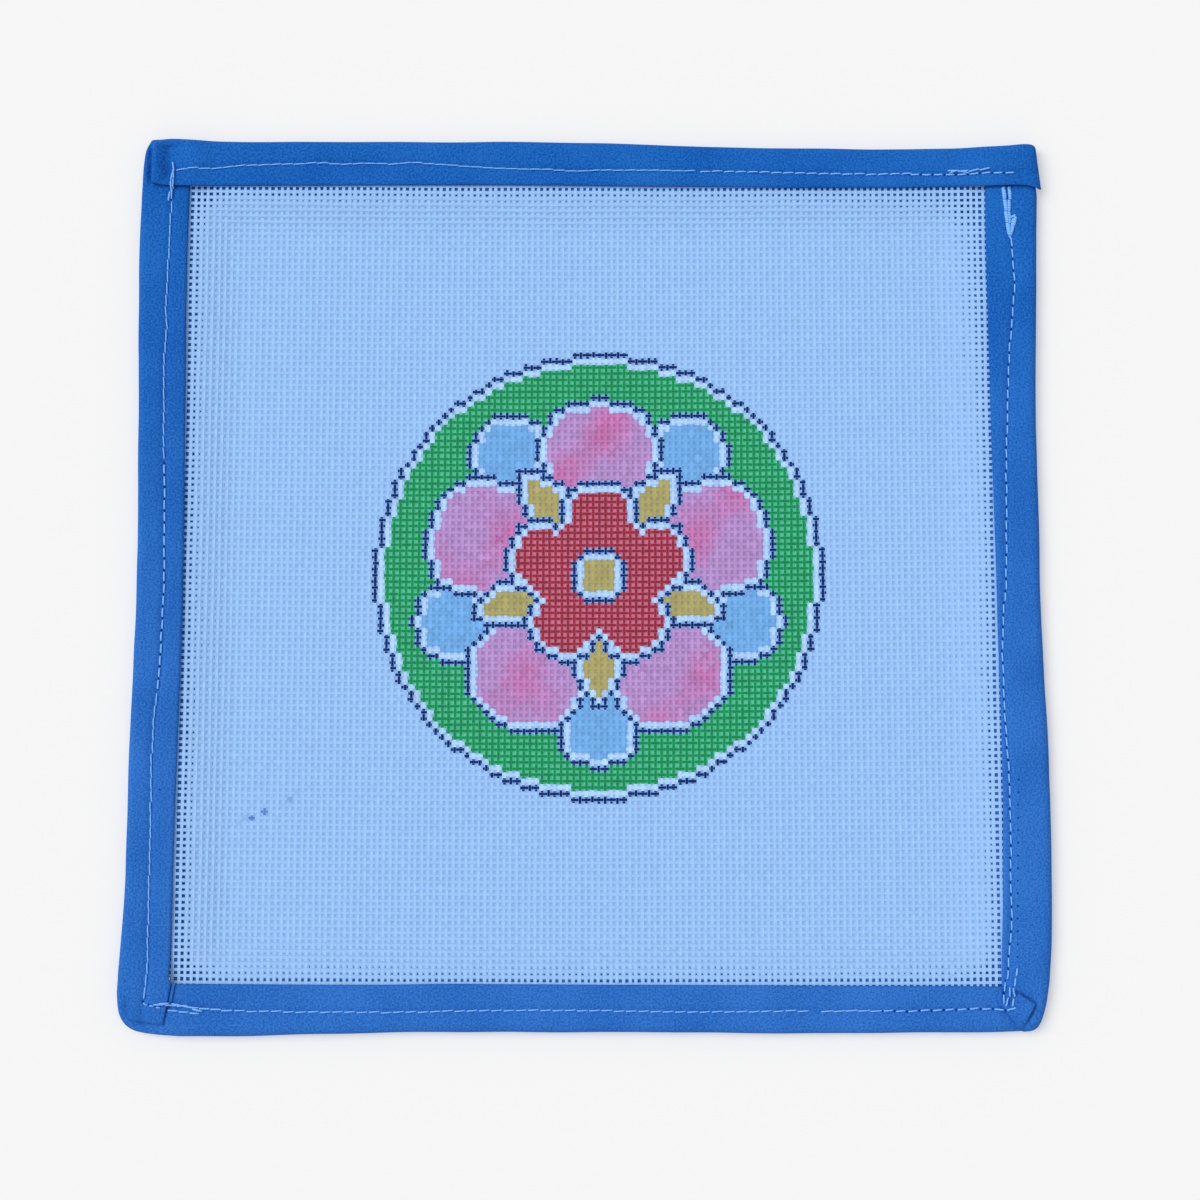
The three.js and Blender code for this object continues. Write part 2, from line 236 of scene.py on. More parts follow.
def threads(name, numbers, crossed, runs_up, tint):
    """
    Threads side by side, each a flat tube on four lines, narrow on top and spread by starch to a wide
    base below. Its middle passes over and under the crossed threads by a fixed bend, with a level point
    half way between crossings, and wanders a little aside.
    """
    half_steps = 2 * len(crossed) + 1
    along = crossed[0] - 0.5 + 0.5 * np.arange(half_steps)
    number = numbers[:, None] + 0 * along
    along = np.tile(along, (len(numbers), 1))
    at_crossing = np.arange(half_steps) % 2 == 1
    over = np.where((np.rint(number + along) % 2 == 0) == runs_up, 1.0, -1.0) * at_crossing
    ragged = along + np.where(at_crossing, 0, wear.uniform(-0.13, 0.13, along.shape))
    ragged[:, [0, -1]] = along[:, [0, -1]] + wear.uniform(-0.3, 0.3, (len(numbers), 2))
    drift = 0.035 * np.sin(along / wear.uniform(3, 9, (len(numbers), 1)) + 7 * number)
    number = number + drift + 0.02 * wear.standard_normal((len(numbers), 1))
    x, y = crossing_place(number, ragged) if runs_up else crossing_place(ragged, number)
    caught = caught_share(x, y)
    x, y = x - 0.0029 * caught * (x - 6 * MM), y - 0.0029 * caught * (y + 43 * MM)
    z = CANVAS_LOW + CANVAS_RISE * caught + THREAD_BEND * over
    middle = np.stack([x, y, z], -1)[:, :, None, :]
    side = np.array((1.0, 0, 0) if runs_up else (0, -1.0, 0))
    uneven = 1 + THREAD_UNEVEN * wear.standard_normal((*x.shape, 1, 1))
    # The starched base widens soon after the binding, and most slowly near the upper right corner.
    openness = 5.6 - 4.5 * np.exp(-(((x / MM - 95) / 46) ** 2) - ((y / MM - 84) / 46) ** 2)
    base = np.interp(caught**openness, (0, 1), THREAD_BASE[::-1])[:, :, None, None]
    level = np.array([1, 1, -1, -1])[:, None]
    half_wide = np.array([-1, 1, 1, -1])[:, None] * np.where(level > 0, THREAD_TOP, base) / 2 * uneven
    points = middle + half_wide * side + level * np.array((0, 0, THREAD_THICK / 2))
    start = (np.arange(len(numbers)) * half_steps * 4)[:, None, None]
    ring = (4 * np.arange(half_steps - 1))[None, :, None]
    corner = np.arange(4)[None, None, :]
    a, b = start + ring + corner, start + ring + (corner + 1) % 4
    walls = np.stack([a, b, b + 4, a + 4], -1)
    last = start[:, 0] + 4 * (half_steps - 1)
    ends = np.concatenate([start[:, 0] + (0, 3, 2, 1), last + (0, 1, 2, 3)])
    points, faces = points.reshape(-1, 3), np.concatenate([walls.reshape(-1, 4), ends])
    thing = placed_mesh(name, points, faces, False)

    by_thread = chart_colour if runs_up else chart_colour.swapaxes(0, 1)
    first, first_crossed = (WARPS[0], WEFTS[0]) if runs_up else (WEFTS[0], WARPS[0])
    picked = by_thread[numbers - first][:, crossed - first_crossed]
    # The top takes the paint; the flanks and underside take the painted shade and light of the holes.
    by_wall = np.repeat(picked[:, :, [0, 1, 1, 1]], 2, axis=1).reshape(-1, 3)
    by_end = np.concatenate([picked[:, 0, 0], picked[:, -1, 0]])
    colour = np.concatenate([by_wall, by_end]) * tint
    colour_and_shade = thing.data.attributes.new("paint_and_hole_shading", "FLOAT_COLOR", "FACE")
    colour_and_shade.data.foreach_set("color", np.column_stack([colour, np.ones(len(colour))]).ravel())
    plan = thing.data.uv_layers.new(name="OFBake")
    corners = points[faces.ravel(), :2]
    low, high = corners.min(0), corners.max(0)
    plan.data.foreach_set("uv", ((corners - low) / (high - low).max()).ravel())
    return thing


def fibre_group():
    """Loose fibres on a spun thread: fine noise, as a tone about 1 and a height about 0.5."""
    group, taken, given = new_group(
        "spun_fibre",
        (("Vector", "Vector", "INPUT"), ("Scale", "Float", "INPUT"), ("Contrast", "Float", "INPUT"),
         ("Tone", "Float", "OUTPUT"), ("Height", "Float", "OUTPUT")),
    )  # fmt: skip
    noise = new_node(group.nodes, "TexNoise", None, (("Detail", 3), ("Roughness", 0.65)))
    centred = new_node(group.nodes, "Math", "SUBTRACT", ((1, 0.5),))
    tone = new_node(group.nodes, "Math", "MULTIPLY_ADD", ((2, 1.0),))
    wire(taken, "Vector", noise, "Vector")
    wire(taken, "Scale", noise, "Scale")
    wire(noise, "Fac", centred, 0)
    wire(centred, 0, tone, 0)
    wire(taken, "Contrast", tone, 1)
    wire(tone, 0, given, "Tone")
    wire(noise, "Fac", given, "Height")
    return group


spun_fibre = fibre_group()


def canvas_thread_material(name, stretch):
    """Painted, starched cotton thread: its paint, with the painted shade and light of the holes on its
    flanks, broken up by fibres drawn out along the thread.
    """
    material, nodes, shader = new_material(name, 0.7, 0.12)
    paint_and_hole_shading = nodes.new("ShaderNodeAttribute")
    paint_and_hole_shading.attribute_name = "paint_and_hole_shading"
    place = nodes.new("ShaderNodeTexCoord")
    drawn = new_node(nodes, "Mapping", None, (("Scale", stretch),))
    fibre = nodes.new("ShaderNodeGroup")
    fibre.node_tree = spun_fibre
    fibre.inputs["Scale"].default_value = 3000
    fibre.inputs["Contrast"].default_value = 0.32
    toned = new_node(nodes, "VectorMath", "SCALE")
    bump = new_node(nodes, "Bump", None, (("Strength", 0.35), ("Distance", 0.05 * MM)))
    wire(place, "Object", drawn, "Vector")
    wire(drawn, "Vector", fibre, "Vector")
    wire(paint_and_hole_shading, "Color", toned, 0)
    wire(fibre, "Tone", toned, "Scale")
    wire(toned, 0, shader, "Base Color")
    wire(fibre, "Height", bump, "Height")
    wire(bump, "Normal", shader, "Normal")
    return material


warp_thread = canvas_thread_material("canvas_warp_thread", (1.0, 0.3, 1.0))
weft_thread = canvas_thread_material("canvas_weft_thread", (0.3, 1.0, 1.0))
for name, numbers, crossed, runs_up, tint, material in (
    ("canvas_warp_left", WARPS[:71], WEFTS, True, WARP_TONE, warp_thread),
    ("canvas_warp_right", WARPS[71:], WEFTS, True, WARP_TONE, warp_thread),
    ("canvas_weft_lower", WEFTS[:69], WARPS, False, WEFT_TONE, weft_thread),
    ("canvas_weft_upper", WEFTS[69:], WARPS, False, WEFT_TONE, weft_thread),
):
    half_canvas = threads(name, numbers, crossed, runs_up, tint)
    half_canvas.data.materials.append(material)
    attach(half_canvas, "root")
    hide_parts("canvas")

# ---- Binding, right side -------------------------------------------------------------------------
# Plain-weave cotton tape, folded over the canvas's edge with its back a little wider than its face,
# and turned round the lower right corner. Each row of a side: place, inset, width of face, lap.

HALF_WIDTH, HALF_HEIGHT = 104.3, 102.1
TAPE_THICK = 0.45
TAPE_THREAD = 0.56 * MM  # from one thread of its weave to the next but one
FOLD_REACH = 1.8  # from the fold's outermost line to where the face lies flat
FACE_HIGH, FACE_FALL = 3.3, 0.55  # height by the fold, and how much less at the inner edge
SEAM_DEEP, SEAM_WIDE, SEAM_PUCKER = 0.34, 0.8, 0.22
EDGE_ROLL, EDGE_WIDE = 0.36, 0.28
RIPPLE = 0.16
LAP_LIFT = 0.95
STITCH = 2.72
BACK_SHOWS = 4.2  # how far the back reaches in past the face, up against the canvas
BACK_FALL = 0.16  # how much it sinks in a millimetre there
BACK_COLUMNS, ARC_COLUMNS, FACE_COLUMNS = 10, 11, 30
FACE_FROM = BACK_COLUMNS + ARC_COLUMNS
TURN_STEPS, END_STEPS = 26, 4
RIGHT_SIDE = [
    (98.2, 2.0, 10.6, 0), (90.4, 0.7, 11.7, 0), (88.4, 0.5, 11.9, 0), (80, 0.9, 11.6, 0),
    (66, 0.9, 11.5, 0), (57, 1.2, 11.1, 0), (46, 1.4, 10.7, 0), (34, 1.8, 10.2, 0), (18, 1.5, 10.2, 0),
    (3, 1.3, 10.1, 0), (-13, 1.2, 10.0, 0), (-33, 0.5, 10.3, 0), (-50, -0.1, 10.8, 0),
    (-72, -0.05, 11.1, 0), (-83, 0.5, 11.0, 0), (-90, 1.0, 10.7, 0),
]  # fmt: skip
RIGHT_SEAM = [
    (99, 97.4), (79, 97.3), (76, 97.7), (72, 97.9), (67, 98.1), (62, 97.6), (58, 97.4), (54, 96.9),
    (50, 96.5), (45, 96.3), (40, 96.2), (35, 95.9), (31, 95.7), (12, 95.35), (3, 95.15), (-2, 94.95),
    (-7, 94.45), (-12, 94.25), (-17, 94.0), (-22, 94.1), (-27, 94.15), (-32, 94.3), (-37, 94.65),
    (-42, 94.95), (-56, 95.1), (-71, 95.0), (-77.7, 95.0), (-85, 94.2), (-88.4, 94.0), (-90.4, 93.55),
    (-93.4, 92.95), (-96, 92.7),
]  # fmt: skip
RIGHT_TURN = [
    (103.2, -91.0), (102.85, -93.4), (102.63, -94.9), (102.2, -96.57), (101.68, -98.25), (101.25, -99.2),
    (100.78, -100.05), (100.05, -100.72), (99.1, -101.08), (97.5, -101.22),
]  # fmt: skip


def side_stations(rows, half, place, step=0.68):
    """
    Stations every step along a side, as fold points, inner points and laps: the rows' sizes run evenly
    between rows and are then averaged over 5 mm, so that the tape's edges are smooth curves.
    """
    rows = np.array(rows, float)
    steps = int(round(abs(rows[-1, 0] - rows[0, 0]) / step))
    share = np.arange(steps + 1) / steps
    at = rows[0, 0] + (rows[-1, 0] - rows[0, 0]) * share
    place_share = (rows[:, 0] - rows[0, 0]) / (rows[-1, 0] - rows[0, 0])
    window = np.hanning(9)[1:-1] / np.hanning(9)[1:-1].sum()
    inset, face, lap = (
        np.convolve(np.pad(np.interp(share, place_share, rows[:, k]), 3, mode="edge"), window, "valid")
        for k in (1, 2, 3)
    )
    fold, inner = np.stack(place(half - inset, at), -1), np.stack(place(half - inset - face, at), -1)
    return fold, inner, lap


def run_length(path):
    """Distance along a path to each of its points."""
    return np.concatenate([[0], np.cumsum(np.hypot(*np.diff(path, axis=0).T))])


def columns_at(at, places, rows):
    """Each column of rows at other places, running evenly between the places that it is given at."""
    return np.stack([np.interp(at, places, column) for column in rows.T], -1)


def turn_stations(fold_path, corner, start, end):
    """
    Fold points and inner points round a lower corner: the fold evenly along a path, each point then
    averaged with its neighbours, and the inner edge on an arc of 0.5 mm about the corner.
    """
    path = np.array(fold_path, float)
    length = run_length(path)
    fold = columns_at(np.linspace(0, length[-1], TURN_STEPS), length, path)
    fold[1:-1] = (fold[:-2] + 2 * fold[1:-1] + fold[2:]) / 4
    angle = np.radians(np.linspace(start, end, TURN_STEPS))
    return fold, np.array(corner) + 0.5 * np.stack([np.cos(angle), np.sin(angle)], -1)


def seam_distance(fold, inner, seam_points):
    """How far in from the fold the seam crosses each station, by where it cuts the station's line."""
    seam = np.array(seam_points, float)
    inward = (inner - fold) / np.hypot(*(inner - fold).T)[:, None]
    reach = np.linspace(0, 12, 49)
    spots = fold[:, None] + inward[:, None] * reach[None, :, None]
    dense = [np.linspace(a, b, 12, endpoint=False) for a, b in zip(seam, seam[1:])]
    dense = np.concatenate(dense + [seam[-1:]])
    gap = np.hypot(*(spots[:, :, None] - dense[None, None]).transpose(3, 0, 1, 2)).min(2)
    return reach[gap.argmin(1)]


def ripple(a, b, seed, size):
    """A soft uneven surface over (a, b) in millimetres: seven sine waves at odd angles, by size."""
    pick = np.random.default_rng(seed)
    total = 0 * a
    for wave, turn, start in zip(pick.uniform(5, 24, 7), pick.uniform(0, 6.3, 7), pick.uniform(0, 6.3, 7)):
        total = total + np.sin(FULL_TURN * (a * np.cos(turn) + b * np.sin(turn)) / wave + start)
    return size * total / 7


def tape_surface(fold, inner, lap, seam_points, press, shows, seed):
    """
    Outside of a folded tape carried along its stations, with the distances along it and across it.
    Its section is a back, half an ellipse round the fold, and a face. The back rises from the surface
    to the canvas by a smooth step and sinks evenly past the face's edge, or lies flat where shows is
    negative. The face falls by a power of 1.5 from the fold to its inner edge, dips in a bell-shaped
    valley along the seam, puckered stitch by stitch, and rolls down at its edge.
    """
    width = np.hypot(*(inner - fold).T)[:, None]
    inward = (inner - fold) / width
    along = run_length((fold + inner) / 2)[:, None]
    back, face = np.linspace(1, 0, BACK_COLUMNS), np.linspace(0, 1, FACE_COLUMNS)
    arc = np.linspace(0, np.pi, ARC_COLUMNS + 2)[1:-1]
    start = np.full((len(fold), 1), FOLD_REACH)
    d_back = start + (width + shows[:, None] - FOLD_REACH) * back
    d_arc = start - FOLD_REACH * np.sin(arc)
    d_face = start + (width - FOLD_REACH) * face
    lift = LAP_LIFT * lap[:, None]
    plateau = FACE_HIGH - FACE_FALL * face**1.5
    puckered = 1 + SEAM_PUCKER * np.cos(FULL_TURN * along / STITCH)
    off_seam = d_face - seam_distance(fold, inner, seam_points)[:, None]
    valley = SEAM_DEEP * np.exp(-((off_seam / SEAM_WIDE) ** 2)) * puckered
    pull = 0.05 * np.cos(FULL_TURN * along / STITCH + 0.5) * np.exp(-((off_seam / 2.2) ** 2))
    rolled = EDGE_ROLL * np.exp(-(((width - d_face) / EDGE_WIDE) ** 2)) * (1 - 0.5 * lap[:, None])
    uneven = ripple(along, d_face, seed, RIPPLE)
    z_face = (plateau - valley - pull - rolled + uneven) * press[:, None] + lift
    height = z_face[:, :1]
    z_arc = height / 2 * (1 - np.cos(arc))
    d = np.concatenate([d_back, d_arc, d_face], 1)
    reach = np.clip((d_back - start) / (width - start), 0, 1)
    z_back = reach**2 * (3 - 2 * reach) - BACK_FALL * np.clip(d_back - width, 0, None)
    z_back = np.clip(z_back, 0, None)
    z = np.concatenate([z_back * (shows[:, None] > 0), z_arc, z_face], 1)
    out = 0.10 * np.sin(along / 9 + seed) + 0.06 * np.sin(along / 3.7 + 2 * seed)
    d = d + out * np.exp(-d / 2.0)
    points = np.concatenate([fold[:, None] + inward[:, None] * d[..., None], z[..., None]], -1)
    across = np.cumsum(np.hypot(np.diff(d, axis=1), np.diff(z, axis=1)), 1).mean(0)
    return points, along + 0 * d, np.concatenate([[0], across]) + 0 * d


def tape_piece(name, points, along, across, kept=...):
    """The tape as a mesh: all faces of its grid of points, or those kept, with a wall laid inside."""
    rows, columns = points.shape[:2]
    index = np.arange(rows * columns).reshape(rows, columns)
    quads = np.stack([index[:-1, :-1], index[1:, :-1], index[1:, 1:], index[:-1, 1:]], -1)
    flat = points.reshape(-1, 3)
    a, b, c = (flat[quads[rows // 2, columns * 3 // 4, k]] for k in (0, 1, 2))
    quads = quads if np.cross(b - a, c - a)[2] > 0 else quads[..., ::-1]
    quads = quads[kept]
    used, quads = np.unique(quads, return_inverse=True)
    quads = quads.reshape(-1, 4)
    thing = placed_mesh(name, flat[used] * MM, quads)
    cloth = thing.data.uv_layers.new(name="cloth")
    uv = np.stack([along, across], -1).reshape(-1, 2)[used]
    cloth.data.foreach_set("uv", (uv[quads.ravel()] * MM).ravel())
    wall = thing.modifiers.new("wall", "SOLIDIFY")
    wall.thickness, wall.offset, wall.use_even_offset = TAPE_THICK * MM, -1, False
    return thing


def weave_group():
    """Fine plain weave on cloth coordinates: two sine waves multiplied, its threads bent by noise."""
    group, taken, given = new_group(
        "tape_weave",
        (("Vector", "Vector", "INPUT"), ("Threads", "Float", "INPUT"),
         ("Height", "Float", "OUTPUT"), ("Mottle", "Float", "OUTPUT")),
    )  # fmt: skip
    nodes = group.nodes
    uneven = new_node(nodes, "TexNoise", None, (("Scale", 700), ("Detail", 2)))
    bend = new_node(nodes, "VectorMath", "MULTIPLY_ADD", ((1, (0.00045, 0.00045, 0)),))
    turns = new_node(nodes, "VectorMath", "SCALE")
    parts = new_node(nodes, "SeparateXYZ")
    wire(taken, "Vector", uneven, "Vector")
    wire(uneven, "Color", bend, 0)
    wire(taken, "Vector", bend, 2)
    wire(bend, 0, turns, 0)
    wire(taken, "Threads", turns, "Scale")
    wire(turns, 0, parts, 0)
    crossed = new_node(nodes, "Math", "MULTIPLY")
    for input_number, axis in enumerate("XY"):
        wave = new_node(nodes, "Math", "SINE")
        wire(parts, axis, wave, 0)
        wire(wave, 0, crossed, input_number)
    speckle = new_node(nodes, "TexNoise", None, (("Scale", 2300), ("Detail", 2)))
    wire(taken, "Vector", speckle, "Vector")
    height = new_node(nodes, "Math", "MULTIPLY_ADD", ((1, 0.35),))
    wire(crossed, 0, height, 0)
    wire(speckle, "Fac", height, 2)
    wire(height, 0, given, "Height")
    wire(speckle, "Fac", given, "Mottle")
    return group


def tape_material():
    """Dyed cotton, blue and mottled thread by thread, and matt; with painted light: a little paler towards
    the panel's foot.
    """
    material, nodes, shader = new_material("binding_cotton", 0.82, 0.05)
    cloth = nodes.new("ShaderNodeUVMap")
    cloth.uv_map = "cloth"
    weave = nodes.new("ShaderNodeGroup")
    weave.node_tree = weave_group()
    weave.inputs["Threads"].default_value = FULL_TURN / TAPE_THREAD
    wire(cloth, "UV", weave, "Vector")
    place = nodes.new("ShaderNodeTexCoord")
    faded = new_node(nodes, "TexNoise", None, (("Scale", 60), ("Detail", 3)))
    wire(place, "Object", faded, "Vector")
    both = new_node(nodes, "Math", "MULTIPLY_ADD", ((1, 0.35),))
    wire(faded, "Fac", both, 0)
    wire(weave, "Mottle", both, 2)
    # Painted light: the cloth is paler towards the panel's foot, as if more light fell there.
    height = new_node(nodes, "SeparateXYZ")
    painted_light_to_foot = new_node(nodes, "MapRange", None, (("From Min", 0.100), ("From Max", -0.045)))
    painted_light_to_foot.interpolation_type = "SMOOTHSTEP"
    shades = nodes.new("ShaderNodeMix")
    shades.data_type = "RGBA"
    wire(place, "Object", height, 0)
    wire(height, "Y", painted_light_to_foot, "Value")
    wire(painted_light_to_foot, "Result", shades, "Factor")
    # A is the darker copy of the mottled dye, for the upper part, and B the paler copy, for the foot:
    # painted light.
    for side, dark, light in (
        ("A", (0.003, 0.085, 0.400, 1), (0.018, 0.158, 0.560, 1)),
        ("B", (0.013, 0.112, 0.450, 1), (0.040, 0.190, 0.625, 1)),
    ):
        colour_and_shade = nodes.new("ShaderNodeValToRGB")
        colour_and_shade.color_ramp.elements[0].position, colour_and_shade.color_ramp.elements[0].color = 0.53, dark
        colour_and_shade.color_ramp.elements[1].position, colour_and_shade.color_ramp.elements[1].color = 0.82, light
        wire(both, 0, colour_and_shade, "Fac")
        wire(colour_and_shade, "Color", shades, side)
    wire(shades, "Result", shader, "Base Color")
    bump = new_node(nodes, "Bump", None, (("Strength", 0.5), ("Distance", 0.06 * MM)))
    wire(weave, "Height", bump, "Height")
    wire(bump, "Normal", shader, "Normal")
    return material


binding_cotton = tape_material()


def finish_tape(piece, node):
    """Cotton on the tape, and what it stands for."""
    piece.data.materials.append(binding_cotton)
    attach(piece, "root")
    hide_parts(node)
    return piece


on_right = lambda out, at: (out, at)
right_fold, right_inner, right_lap = side_stations(RIGHT_SIDE, HALF_WIDTH, on_right)
turn_fold, turn_inner = turn_stations(RIGHT_TURN, (92.2, -91.2), -5, -84)
end_fold = np.linspace((97.4, -101.2), (97.2, -101.15), END_STEPS)
end_inner = np.linspace((92.0, -92.3), (91.3, -94.2), END_STEPS)
right_fold = np.concatenate([right_fold, turn_fold, end_fold])
right_inner = np.concatenate([right_inner, turn_inner, end_inner])
end_lap = np.interp(np.arange(TURN_STEPS + END_STEPS), (18, 29), (0, 0.6))
right_lap = np.concatenate([right_lap, end_lap])
right_seam_points = [(x, y) for y, x in RIGHT_SEAM]
right_press = np.interp(right_fold[:, 1], (88, 91.5), (1, 0.8))
right_shows = np.interp(right_fold[:, 1], (5, 50, 72, 90.5, 92), (BACK_SHOWS, 6, 7.8, 7.8, -1.5))
right_points, right_along, right_across = tape_surface(
    right_fold, right_inner, right_lap, right_seam_points, right_press, right_shows, 3
)
# The tape is drawn down along the folded edges of the corner's pleat.
pleat_edge = np.concatenate(
    [np.linspace((95.9, -92.5), (99.9, -94.95), 24), np.linspace((99.9, -94.95), (97.35, -100.2), 24)]
)
from_pleat = np.full(right_points.shape[:2], 9.0)
by_pleat = right_points[-34:, :, None, :2] - pleat_edge
from_pleat[-34:] = np.hypot(*by_pleat.transpose(3, 0, 1, 2)).min(-1)
right_points[..., 2] -= 0.7 * np.exp(-((from_pleat / 0.42) ** 2)) * (right_points[..., 2] > 2.0)
right_quad_middle = (right_points[1:, 1:] + right_points[:-1, :-1]) / 2
right_kept = (right_quad_middle[..., 1] < 91.5) | (right_quad_middle[..., 2] > 1.0)
binding_right = finish_tape(
    tape_piece("binding_tape_right", right_points, right_along, right_across, right_kept), "binding_right"
)

# ---- Binding, lower side -------------------------------------------------------------------------
# The same tape along the lower edge. Its left end turns up into the left side, under that side's
# tail, and its right end goes in under the right tape where that comes round the corner.

BOTTOM_SIDE = [
    (-90, -0.15, 11.6, 0), (-82, -0.05, 11.5, 0), (-60, 0.3, 11.0, 0), (-45, 0.55, 10.7, 0),
    (-31, 0.9, 10.6, 0), (-18, 0.9, 10.5, 0), (7, 0.65, 10.6, 0), (17, 0.75, 10.5, 0),
    (40, 0.65, 10.5, 0), (54, 0.45, 10.6, 0), (72, 0.6, 10.4, 0), (80, 0.7, 10.3, 0),
]  # fmt: skip
BOTTOM_SEAM = [
    (-99, -94.5), (-93.3, -95.0), (-88, -95.4), (-84, -96.0), (-75.7, -96.45), (-64, -96.75),
    (-41, -96.8), (-34, -96.6), (-12, -96.35), (3, -96.45), (12, -96.6), (27, -96.75), (45, -96.5),
    (53, -96.6), (60, -96.45), (72, -96.5), (77, -96.4), (83, -96.15), (88.4, -95.95), (91, -96.05),
    (92.8, -96.35), (94.5, -95.95), (95.9, -95.7), (97.5, -95.7),
]  # fmt: skip
LEFT_TURN = [
    (-104.5, -92.6), (-104.35, -95.0), (-103.98, -97.15), (-103.55, -98.2), (-102.97, -99.17),
    (-102.2, -99.99), (-101.25, -100.62), (-100.23, -101.1), (-98.1, -101.55), (-96.2, -101.8),
    (-94.0, -102.0),
]  # fmt: skip
on_bottom = lambda out, at: (at, -out)
left_turn = turn_stations(LEFT_TURN, (-92.4, -90.1), 187, 268)
bottom_run = side_stations(BOTTOM_SIDE, HALF_HEIGHT, on_bottom)
bottom_fold = np.concatenate(
    [np.linspace((-104.4, -90), (-104.5, -92.3), 5), left_turn[0],
     np.linspace((-93.4, -102.04), (-90.5, -102.22), 6), bottom_run[0],
     np.linspace((80.7, -101.37), (97.4, -101.05), 24)]
)  # fmt: skip
bottom_inner = np.concatenate(
    [np.linspace((-93.1, -90.0), (-92.95, -90.15), 5), left_turn[1],
     np.linspace((-92.3, -90.6), (-90.5, -90.65), 6), bottom_run[1],
     np.linspace((80.7, -91.1), (94.5, -91.3), 24)]
)  # fmt: skip
bottom_lap = np.zeros(len(bottom_fold))
bottom_press = np.interp(bottom_fold[:, 0], (-104.3, -98, -92, 93, 96), (0.74, 0.8, 1, 1, 0.82))
bottom_shows = np.interp(bottom_inner[:, 0], (-92.75, -92.4, 92, 93), (-1, BACK_SHOWS, BACK_SHOWS, -1))
bottom_points, bottom_along, bottom_across = tape_surface(
    bottom_fold, bottom_inner, bottom_lap, BOTTOM_SEAM, bottom_press, bottom_shows, 8
)
binding_bottom = finish_tape(
    tape_piece("binding_tape_bottom", bottom_points, bottom_along, bottom_across), "binding_bottom"
)

# ---- Binding, left side --------------------------------------------------------------------------
# The same tape down the left edge. Below the canvas only its face runs on, as a tail with a cut end
# that laps over the lower tape.

LEFT_SIDE = [
    (101.6, 4.9, 9.0, 0), (100.9, 3.8, 10.0, 0), (100, 3.3, 10.4, 0), (98.5, 3.05, 10.6, 0),
    (95, 2.6, 11.1, 0), (82, 2.1, 11.3, 0), (70, 2.0, 11.2, 0), (58, 2.2, 11.0, 0), (50, 2.5, 10.8, 0),
    (29, 2.6, 10.8, 0), (18, 2.6, 10.9, 0), (7, 2.9, 10.6, 0), (-10, 2.75, 10.7, 0),
    (-21, 2.4, 10.8, 0), (-30, 1.9, 11.1, 0), (-38, 1.7, 11.1, 0), (-50, 1.6, 10.9, 0),
    (-67, 1.6, 10.6, 0), (-72, 1.3, 10.9, 0), (-80, 0.7, 11.4, 0), (-85, 0.4, 11.6, 0),
    (-89.3, 0.2, 11.7, 1),
]  # fmt: skip
LEFT_SEAM = [
    (99, -94.38), (90.8, -94.58), (79.3, -95.08), (66, -95.58), (61.6, -95.68), (57.6, -95.38),
    (52.5, -95.78), (36.4, -95.78), (19, -95.28), (0, -94.98), (-10, -95.28), (-20, -95.68),
    (-27, -96.28), (-32, -96.88), (-40, -97.08), (-53.9, -97.18), (-71, -97.28), (-83.6, -97.38),
    (-89, -97.3), (-92.1, -97.55), (-94.1, -97.9), (-99, -98.1),
]  # fmt: skip
TAIL = [(-103.9, -92.8, -91.9, -90.3), (-103.3, -95.2, -92.5, -94.4), (-103.3, -97.9, -93.6, -99.5)]
on_left = lambda out, at: (-out, at)
left_fold, left_inner, left_lap = side_stations(LEFT_SIDE, HALF_WIDTH, on_left)
full_rows = len(left_fold) + 5
tail = np.concatenate([[[*left_fold[-1], *left_inner[-1]]], TAIL])
tail_at = np.concatenate([np.linspace(0, 1, 6)[1:], np.linspace(1, 3, 13)[1:]])
tail = columns_at(tail_at, np.arange(4), tail)
left_fold = np.concatenate([left_fold, tail[:, :2]])
left_inner = np.concatenate([left_inner, tail[:, 2:]])
left_lap = np.concatenate([left_lap, np.ones(len(tail))])
left_seam_points = [(x, y) for y, x in LEFT_SEAM]
left_press = np.interp(left_fold[:, 1], (88, 91.5, 94), (1, 0.8, 0.7))
left_shows = np.interp(left_fold[:, 1], (-91, -89.8, 90, 91.5), (-1.5, BACK_SHOWS, BACK_SHOWS, -1.5))
left_points, left_along, left_across = tape_surface(
    left_fold, left_inner, left_lap, left_seam_points, left_press, left_shows, 5
)
left_quad_middle = (left_points[1:, 1:] + left_points[:-1, :-1]) / 2
left_kept = (left_quad_middle[..., 1] < 91.5) | (left_quad_middle[..., 2] > 1.0)
left_kept[full_rows:, :FACE_FROM] = False
left_kept[full_rows - 6 :, :BACK_COLUMNS] = False
# Past the last full row the fold is tucked in under the tail, against the lower tape.
tuck = np.linspace(0, 1, 5)[:, None]
last_rows = left_points[full_rows - 4 : full_rows + 1]
arc_plan, face_edge = last_rows[:, BACK_COLUMNS:FACE_FROM, :2], last_rows[:, FACE_FROM : FACE_FROM + 1, :2]
arc_plan += (face_edge - arc_plan) * tuck[..., None] * 0.8
# Beside the upper tape's hemmed end the tape is creased.
crease = np.exp(-(((left_points[..., 0] + 100.0) / 0.42) ** 2))
crease *= np.clip((left_points[..., 1] - 90.5) / 1.5, 0, 1) * np.clip(100.8 - left_points[..., 1], 0, 1)
crease *= left_points[..., 2] > 1.5
left_points[..., 2] -= 1.1 * crease
binding_left = finish_tape(
    tape_piece("binding_tape_left", left_points, left_along, left_across, left_kept), "binding_left"
)

# ---- Binding, upper side -------------------------------------------------------------------------
# The last tape sewn on: it laps over both side tapes. Its left end is hemmed and its right end is
# turned down over the panel's edge.

